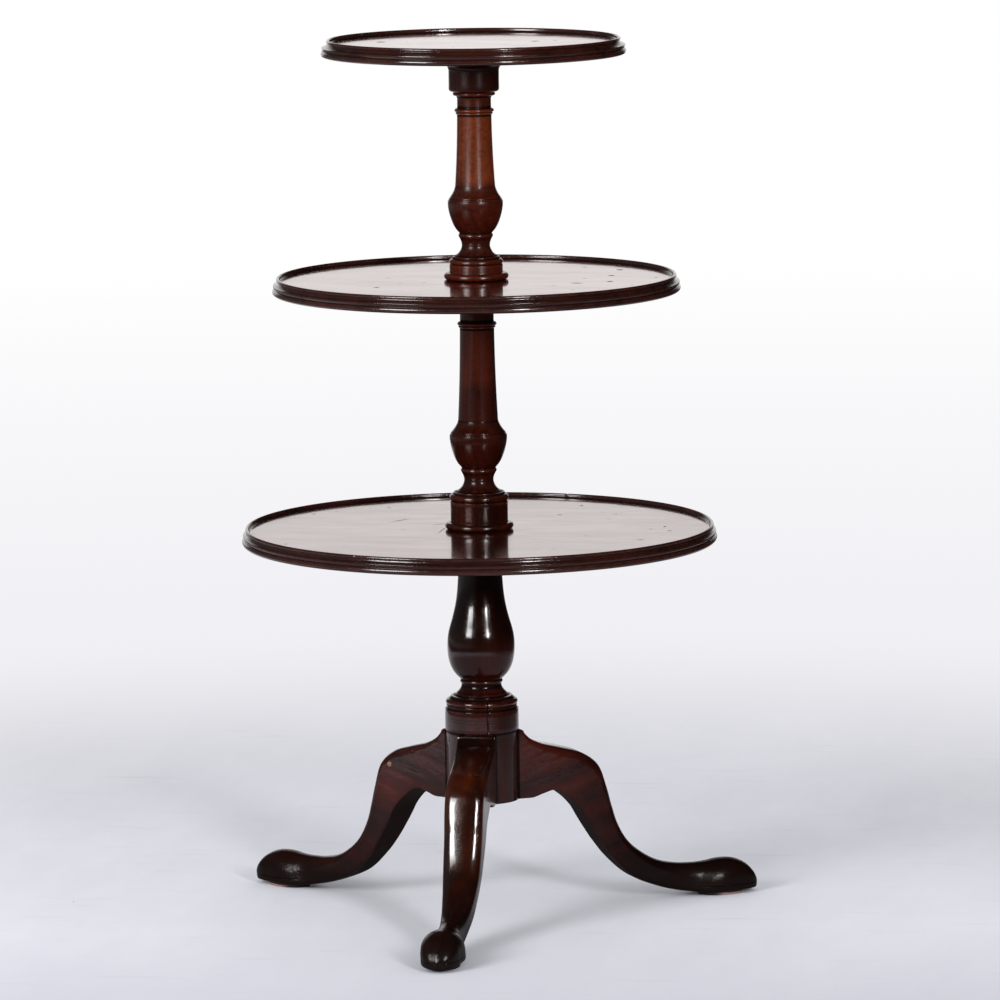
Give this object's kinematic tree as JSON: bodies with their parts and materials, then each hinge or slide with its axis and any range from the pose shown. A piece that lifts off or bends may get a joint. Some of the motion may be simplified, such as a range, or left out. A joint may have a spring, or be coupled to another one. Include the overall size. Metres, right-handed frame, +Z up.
{
  "type": "dumbwaiter table",
  "caption": "Tiered dumbwaiter table: round dished trays that turn on a turned column, over cabriole legs with slipper pad feet.",
  "frame": {"origin": "on the floor under the column's axis, midway between the feet", "axes": "+Z up along the column, -Y towards the front leg, +X to the right seen from the front"},
  "size_m": [0.666, 0.687, 1.134],
  "materials": {
    "mahogany_base": "aged polish",
    "mahogany_column": "aged polish",
    "mahogany_tray": "high polish",
    "foot_disc_wood": "worn",
    "wrought_iron": "oxidised",
    "screw_iron": "dulled"
  },
  "bodies": {
    "base": {"base_pillar": "mahogany_base", "leg_front": "mahogany_base", "leg_right": "mahogany_base", "leg_left": "mahogany_base", "foot_disc_front": "foot_disc_wood", "foot_disc_right": "foot_disc_wood", "foot_disc_left": "foot_disc_wood", "leg_brace": "wrought_iron", "brace_nails": "wrought_iron", "middle_column": "mahogany_column", "upper_column": "mahogany_column"},
    "lower_tier": {"lower_tray": "mahogany_tray", "lower_collar": "mahogany_column", "lower_collar_screws": "screw_iron"},
    "middle_tier": {"middle_tray": "mahogany_tray", "middle_collar": "mahogany_column", "middle_collar_screws": "screw_iron"},
    "top_tier": {"top_tray": "mahogany_tray", "top_collar": "mahogany_column", "top_collar_screws": "screw_iron"}
  },
  "joints": [
    {"name": "lower_tier_turn", "type": "hinge", "parent": "base", "child": "lower_tier", "pos_m": [0, 0, 0.5038], "axis": [0, 0, 1], "continuous": true},
    {"name": "middle_tier_turn", "type": "hinge", "parent": "base", "child": "middle_tier", "pos_m": [0, 0, 0.8258], "axis": [0, 0, 1], "continuous": true},
    {"name": "top_tier_turn", "type": "hinge", "parent": "base", "child": "top_tier", "pos_m": [0, 0, 1.1125], "axis": [0, 0, 1], "continuous": true}
  ]
}
